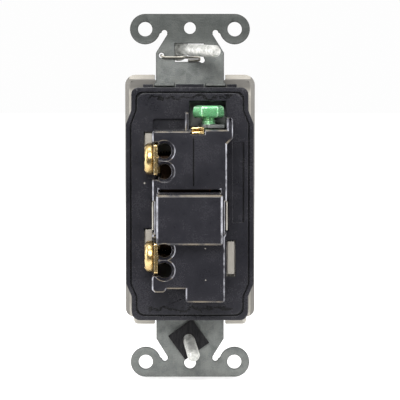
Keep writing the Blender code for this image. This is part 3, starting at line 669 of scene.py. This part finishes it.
def light_panel(name, place, aim, size, power):
    """A soft light panel, given as width and height, that faces a point."""
    data = bpy.data.lights.new(name, "AREA")
    data.shape = "RECTANGLE"
    data.size = size[0]
    data.size_y = size[1]
    data.energy = power
    lamp = bpy.data.objects.new(name, data)
    lamp.location = place
    lamp.rotation_euler = (Vector(aim) - Vector(place)).to_track_quat("-Z", "Y").to_euler()
    bpy.context.scene.collection.objects.link(lamp)


def stage_sheet(name, colour, glow, half, place, turn):
    """A flat square sheet of paper or card."""
    bm = bmesh.new()
    bmesh.ops.create_grid(bm, x_segments=1, y_segments=1, size=half)
    mesh = bpy.data.meshes.new(name)
    bm.to_mesh(mesh)
    bm.free()
    mesh.transform(Matrix.Translation(place) @ Matrix.Rotation(turn, 4, "X"))
    paper = bpy.data.materials.new(name)
    paper.use_nodes = True
    shader = paper.node_tree.nodes["Principled BSDF"]
    shader.inputs["Base Color"].default_value = (*colour, 1.0)
    shader.inputs["Roughness"].default_value = 0.9
    shader.inputs["Specular IOR Level"].default_value = 0.0
    shader.inputs["Emission Color"].default_value = (1.0, 1.0, 1.0, 1.0)
    shader.inputs["Emission Strength"].default_value = glow
    mesh.materials.append(paper)
    sheet = link(name, mesh)
    return sheet


def studio():
    """White surround, lit floor, two dark cards for glossy rays only, light panels and camera."""
    scene = bpy.context.scene
    scene.view_settings.view_transform = "Standard"
    world = bpy.data.worlds.new("white_tent")
    world.use_nodes = True
    world.node_tree.nodes["Background"].inputs["Color"].default_value = (1.0, 1.0, 1.0, 1.0)
    world.node_tree.nodes["Background"].inputs["Strength"].default_value = SURROUND_GLOW
    scene.world = world
    floor_level = cad_box[0][2] - FLOOR_DROP
    stage_sheet("lit_floor", FLOOR_GREY, FLOOR_GLOW, FLOOR_HALF, (0.0, 0.0, floor_level), 0.0)
    card = stage_sheet("dark_card", CARD_GREY, 0.0, 0.48, (0.0, 0.75, 0.22), math.radians(90))
    low_card = stage_sheet("low_card", CARD_GREY, 0.0, 0.33, (0.0, 0.42, floor_level + 0.002), 0.0)
    for sheet in (card, low_card):
        sheet.visible_camera = False
        sheet.visible_diffuse = False
        sheet.visible_shadow = False
    for name, place, size, strength in PANELS:
        light_panel(name, place, (0, 0, 0), size, strength)
    camera_data = bpy.data.cameras.new("camera")
    camera_data.sensor_width = SENSOR_WIDTH
    camera_data.lens = SENSOR_WIDTH * CAMERA_DISTANCE / VIEW_WIDTH
    camera = bpy.data.objects.new("camera", camera_data)
    aim = Vector(CAMERA_AIM) * MM
    line = Vector((0.0, math.cos(CAMERA_ELEVATION), math.sin(CAMERA_ELEVATION)))
    camera.location = aim + CAMERA_DISTANCE * line
    camera.rotation_euler = (-line).to_track_quat("-Z", "Y").to_euler()
    scene.collection.objects.link(camera)
    scene.camera = camera


studio()


# Rolled threads -----------------------------------------------------------------


def thread_tree():
    """Geometry Nodes tree: a closed rod whose wall rises and falls along a helix."""
    tree = bpy.data.node_groups.new("rolled_thread", "GeometryNodeTree")
    tree.interface.new_socket("Geometry", in_out="OUTPUT", socket_type="NodeSocketGeometry")
    for label, kind, value in (
        ("Radius", "NodeSocketFloat", 0.002),
        ("Length", "NodeSocketFloat", 0.01),
        ("Pitch", "NodeSocketFloat", PITCH),
        ("Depth", "NodeSocketFloat", THREAD_DEPTH),
        ("Point", "NodeSocketFloat", 0.001),
        ("Rings", "NodeSocketInt", 60),
        ("Material", "NodeSocketMaterial", None),
    ):
        socket = tree.interface.new_socket(label, in_out="INPUT", socket_type=kind)
        if value is not None:
            socket.default_value = value
    nodes, links = tree.nodes, tree.links
    given = nodes.new("NodeGroupInput")
    out = nodes.new("NodeGroupOutput")
    rod = nodes.new("GeometryNodeMeshCylinder")
    rod.inputs["Vertices"].default_value = 36
    links.new(given.outputs["Rings"], rod.inputs["Side Segments"])
    links.new(given.outputs["Radius"], rod.inputs["Radius"])
    links.new(given.outputs["Length"], rod.inputs["Depth"])
    position = nodes.new("GeometryNodeInputPosition")
    apart = nodes.new("ShaderNodeSeparateXYZ")
    links.new(position.outputs[0], apart.inputs[0])
    turn = math_node(nodes, links, "ARCTAN2", apart.outputs["Y"], apart.outputs["X"])
    turns = math_node(nodes, links, "DIVIDE", turn, 2 * math.pi)
    along = math_node(nodes, links, "DIVIDE", apart.outputs["Z"], given.outputs["Pitch"])
    phase = math_node(nodes, links, "SUBTRACT", along, turns)
    wave = math_node(nodes, links, "PINGPONG", math_node(nodes, links, "ADD", phase, 1000.0), 0.5)
    crest = ramp(nodes, links, wave, 0.1, 0.42)
    fall = math_node(nodes, links, "MULTIPLY", crest, given.outputs["Depth"])
    half = math_node(nodes, links, "MULTIPLY", given.outputs["Length"], 0.5)
    to_point = math_node(nodes, links, "SUBTRACT", half, apart.outputs["Z"])
    reach = math_node(nodes, links, "DIVIDE", to_point, given.outputs["Point"], True)
    blunt = math_node(nodes, links, "SUBTRACT", 1.0, reach)
    drawn_in = math_node(nodes, links, "MULTIPLY", given.outputs["Radius"], 0.4)
    taper = math_node(nodes, links, "MULTIPLY", blunt, drawn_in)
    fallen = math_node(nodes, links, "ADD", fall, taper)
    share = math_node(nodes, links, "DIVIDE", fallen, given.outputs["Radius"])
    keep = math_node(nodes, links, "SUBTRACT", 1.0, share)
    x = math_node(nodes, links, "MULTIPLY", apart.outputs["X"], keep)
    y = math_node(nodes, links, "MULTIPLY", apart.outputs["Y"], keep)
    joined = nodes.new("ShaderNodeCombineXYZ")
    links.new(x, joined.inputs["X"])
    links.new(y, joined.inputs["Y"])
    links.new(apart.outputs["Z"], joined.inputs["Z"])
    place = nodes.new("GeometryNodeSetPosition")
    links.new(rod.outputs["Mesh"], place.inputs["Geometry"])
    links.new(joined.outputs[0], place.inputs["Position"])
    real = nodes.new("GeometryNodeRealizeInstances")
    links.new(place.outputs["Geometry"], real.inputs["Geometry"])
    dress = nodes.new("GeometryNodeSetMaterial")
    links.new(real.outputs["Geometry"], dress.inputs["Geometry"])
    links.new(given.outputs["Material"], dress.inputs["Material"])
    links.new(dress.outputs["Geometry"], out.inputs["Geometry"])
    return tree


THREAD = thread_tree()


def along(axis):
    """The turn that takes +Z to the given axis."""
    return Vector((0, 0, 1)).rotation_difference(Vector(axis)).to_matrix().to_4x4()


def thread_mesh(radius, length, point, surface, depth=THREAD_DEPTH):
    """A threaded rod along Z, from 0 to its length, with its point at the top."""
    holder = link("thread", bpy.data.meshes.new("thread"))
    step = holder.modifiers.new("thread", "NODES")
    step.node_group = THREAD
    values = {
        "Radius": radius,
        "Length": length,
        "Depth": depth,
        "Point": point,
        "Rings": int(length / PITCH * 8),
        "Material": surface,
    }
    for socket in THREAD.interface.items_tree:
        if socket.in_out == "INPUT" and socket.name in values:
            step[socket.identifier] = values[socket.name]
    mesh = applied(holder).data
    mesh.transform(Matrix.Translation((0, 0, length / 2)))
    bpy.data.objects.remove(holder)
    return mesh


def lathe(profile, steps=48):
    """A closed turned mesh about Z from (radius, height) points in metres, top to bottom."""
    bm = bmesh.new()
    verts = [bm.verts.new((r, 0, h)) for r, h in profile]
    edges = [bm.edges.new(pair) for pair in zip(verts, verts[1:])]
    bmesh.ops.spin(
        bm, geom=verts + edges, axis=(0, 0, 1), cent=(0, 0, 0),
        steps=steps, angle=2 * math.pi, use_merge=True,
    )
    bmesh.ops.remove_doubles(bm, verts=bm.verts, dist=1e-7)
    bmesh.ops.recalc_face_normals(bm, faces=bm.faces)
    mesh = bpy.data.meshes.new("turned")
    bm.to_mesh(mesh)
    bm.free()
    return mesh


def box_mesh(x, y, z, radius=0.0):
    """A box between limits in metres."""
    bm = bmesh.new()
    bmesh.ops.create_cube(bm, size=1.0)
    bmesh.ops.scale(bm, vec=(x[1] - x[0], y[1] - y[0], z[1] - z[0]), verts=bm.verts)
    middle = [(low + high) / 2 for low, high in (x, y, z)]
    bmesh.ops.translate(bm, vec=middle, verts=bm.verts)
    if radius:
        bmesh.ops.bevel(
            bm, geom=bm.edges[:], offset=radius, segments=2, profile=0.5, affect="EDGES"
        )
    mesh = bpy.data.meshes.new("box")
    bm.to_mesh(mesh)
    bm.free()
    return mesh


def shaped(name, base, joins=(), cuts=(), arris=0.0):
    """Join and cut meshes, round the arrises, and return the object."""
    piece = link(name, base)
    tools = []
    for operation, meshes in (("UNION", joins), ("DIFFERENCE", cuts)):
        for mesh in meshes:
            tool = link("tool", mesh)
            tools.append(tool)
            step = piece.modifiers.new(operation, "BOOLEAN")
            step.operation = operation
            step.object = tool
    applied(piece)
    if arris:
        piece.data.materials.clear()
        round_arrises(piece, arris, 2)
        applied(piece)
    for tool in tools:
        bpy.data.objects.remove(tool)
    return piece


def merge_into(piece, mesh):
    """Add a second closed body to a piece's mesh."""
    bm = bmesh.new()
    bm.from_mesh(piece.data)
    bm.from_mesh(mesh)
    bm.to_mesh(piece.data)
    bm.free()
    bpy.data.meshes.remove(mesh)


# Screws -------------------------------------------------------------------------


def terminal_screw(node):
    """Brass binding screw: domed washer head with combination slot, and a rolled thread."""
    low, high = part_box(node)
    centre = (low + high) / 2
    head_back = 10.35 * MM
    head = lathe([
        (0.0, 2.4 * MM), (2.2 * MM, 2.38 * MM), (3.5 * MM, 2.25 * MM), (4.1 * MM, 1.95 * MM),
        (4.4 * MM, 1.5 * MM), (4.45 * MM, 1.0 * MM), (4.45 * MM, 0.25 * MM), (4.3 * MM, 0.0),
        (2.6 * MM, 0.0), (1.7 * MM, -0.3 * MM), (0.0, -0.3 * MM),
    ])
    slot = box_mesh((-6 * MM, 6 * MM), (-0.6 * MM, 0.6 * MM), (1.25 * MM, 4 * MM))
    cross = box_mesh((-0.6 * MM, 0.6 * MM), (-2.3 * MM, 2.3 * MM), (1.0 * MM, 4 * MM))
    nicks = []
    for step in range(3):
        turn = Matrix.Rotation(math.radians(30 + 60 * step), 4, "Z")
        nick = box_mesh((-6 * MM, 6 * MM), (-0.35 * MM, 0.35 * MM), (2.0 * MM, 4 * MM))
        nick.transform(turn)
        nicks.append(nick)
    piece = shaped(f"{node}_detailed", head, cuts=[slot, cross] + nicks, arris=0.12 * MM)
    thread = thread_mesh(EIGHT_RADIUS, 8.5 * MM, 1.0 * MM, FINISHES["brass"])
    thread.transform(Matrix.Rotation(math.pi, 4, "X"))
    merge_into(piece, thread)
    piece.data.transform(along((1, 0, 0)))
    piece.data.transform(Matrix.Translation((head_back, centre.y, centre.z)))
    settle(piece, node, TERMINAL_BRASS)


def ground_screw():
    """Green ground screw: thick slotted hexagon head, rounded rim below, and a rolled thread."""
    node = "ground_screw"
    low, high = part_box(node)
    centre = (low + high) / 2
    head = lathe([
        (0.0, 3.5 * MM), (3.7 * MM, 3.5 * MM), (4.15 * MM, 3.3 * MM), (4.5 * MM, 2.95 * MM),
        (4.5 * MM, 0.75 * MM), (4.25 * MM, 0.3 * MM), (3.8 * MM, 0.05 * MM),
        (3.2 * MM, 0.0), (0.0, 0.0),
    ], 6)
    head.transform(Matrix.Rotation(math.radians(5), 4, "Z"))
    slot = box_mesh((-6 * MM, 6 * MM), (-0.6 * MM, 0.6 * MM), (2.3 * MM, 5 * MM))
    dish = lathe([(0.0, 4.0 * MM), (2.7 * MM, 4.0 * MM), (2.4 * MM, 3.1 * MM), (0.0, 3.1 * MM)], 24)
    piece = shaped("ground_screw_detailed", head, cuts=[slot, dish], arris=0.2 * MM)
    thread = thread_mesh(EIGHT_RADIUS, 5.9 * MM, 0.9 * MM, FINISHES["green_screw"])
    thread.transform(Matrix.Translation((0, 0, 0.2 * MM)) @ Matrix.Rotation(math.pi, 4, "X"))
    merge_into(piece, thread)
    head_low = high.z - 3.5 * MM
    piece.data.transform(Matrix.Translation((centre.x, centre.y, head_low)))
    settle(piece, node)


def box_screw(node, at, axis, under_head, fluted):
    """Captive box screw: slotted oval head, bare neck, rolled thread and chamfered point."""
    u = under_head
    head = lathe([
        (0.0, 3.3 * MM), (1.2 * MM, 3.3 * MM), (1.2 * MM, -u), (1.9 * MM, -u),
        (3.35 * MM, -u - 1.2 * MM), (3.4 * MM, -u - 1.6 * MM), (2.9 * MM, -u - 1.95 * MM),
        (1.6 * MM, -u - 2.15 * MM), (0.0, -u - 2.2 * MM),
    ])
    slot = box_mesh((-5 * MM, 5 * MM), (-0.45 * MM, 0.45 * MM), (-u - 4 * MM, -u - 1.2 * MM))
    piece = shaped(f"{node}_detailed", head, cuts=[slot], arris=0.1 * MM)
    start = 2.7 * MM
    thread = thread_mesh(SIX_RADIUS, 19.6 * MM - start, 1.3 * MM, FINISHES["zinc_screw"], 0.09 * MM)
    thread.transform(Matrix.Translation((0, 0, start)))
    if fluted:
        rod = link("fluted thread", thread)
        groove = box_mesh((-0.32 * MM, 0.32 * MM), (1.2 * MM, 3.0 * MM), (5.0 * MM, 17.6 * MM))
        groove.transform(Matrix.Rotation(math.radians(-12), 4, "Z"))
        tool = link("groove", groove)
        step = rod.modifiers.new("flute", "BOOLEAN")
        step.operation = "DIFFERENCE"
        step.object = tool
        thread = applied(rod).data.copy()
        bpy.data.objects.remove(rod)
        bpy.data.objects.remove(tool)
    merge_into(piece, thread)
    piece.data.transform(along(axis))
    piece.data.transform(Matrix.Translation((at[0], 0, at[1])))
    settle(piece, node)


for screw_node in ("upper_terminal_screw", "lower_terminal_screw"):
    terminal_screw(screw_node)
ground_screw()
box_screw("upper_mounting_screw", (1.2 * MM, 42.2 * MM), UPPER_LEAN, 3.2 * MM, False)
box_screw("lower_mounting_screw", (0.4 * MM, -41.4 * MM), LOWER_LEAN, 3.4 * MM, True)


# Pressed, moulded and bent pieces -------------------------------------------------

softened("mounting_strap", "strap_stamping", 0.15 * MM)
softened("front_frame", "frame_moulding", 0.24 * MM)


def body_arris(middle):
    """Large arrises on the platform, fine ones at holes and deck, none at the gauge line."""
    x, y, z = middle / MM
    gauge_line = abs(x + 1.1) < 0.3 and z > 3.5
    vent = abs(x) < 8.5 and 2.15 < z < 3.35
    if gauge_line or vent:
        return 0.0
    if y < 9.0:
        return 0.3
    beside_clip = -4.6 < x < 0.0 and z > 18.0
    beside_wires = 3.8 < x < 10.1 and (5.0 < z < 17.0 or -22.6 < z < -12.1) and y > 15.0
    return 0.3 if beside_clip or beside_wires else 1.0


softened("back_body", "body_moulding", 0.42 * MM, 3, share=body_arris)
softened("rocker", "rocker_paddle", 0.35 * MM, surface=ROCKER_GREY)
TERMINAL_NODES = (
    "upper_terminal", "lower_terminal", "upper_pressure_plate", "lower_pressure_plate",
)
for inner_node in TERMINAL_NODES:
    softened(inner_node, f"{inner_node}_stamping", 0.09 * MM, surface=TERMINAL_BRASS)
softened("ground_clip", "ground_clip_stamping", 0.09 * MM)
softened("contact_arm", "contact_arm_stamping", 0.1 * MM)
softened("lower_screw_retainer", "retainer_blank", 0.06 * MM, 1)
for rivet_node in ("moving_contact", "fixed_contact"):
    softened(rivet_node, f"{rivet_node}_rivet", 0.06 * MM, 1)
softened("actuator_plunger", "plunger_pin", 0.06 * MM, 1)
for wire_node in ("auto_ground_clip", "actuator_spring"):
    softened(wire_node, f"{wire_node}_wire", 0.01 * MM, 1)
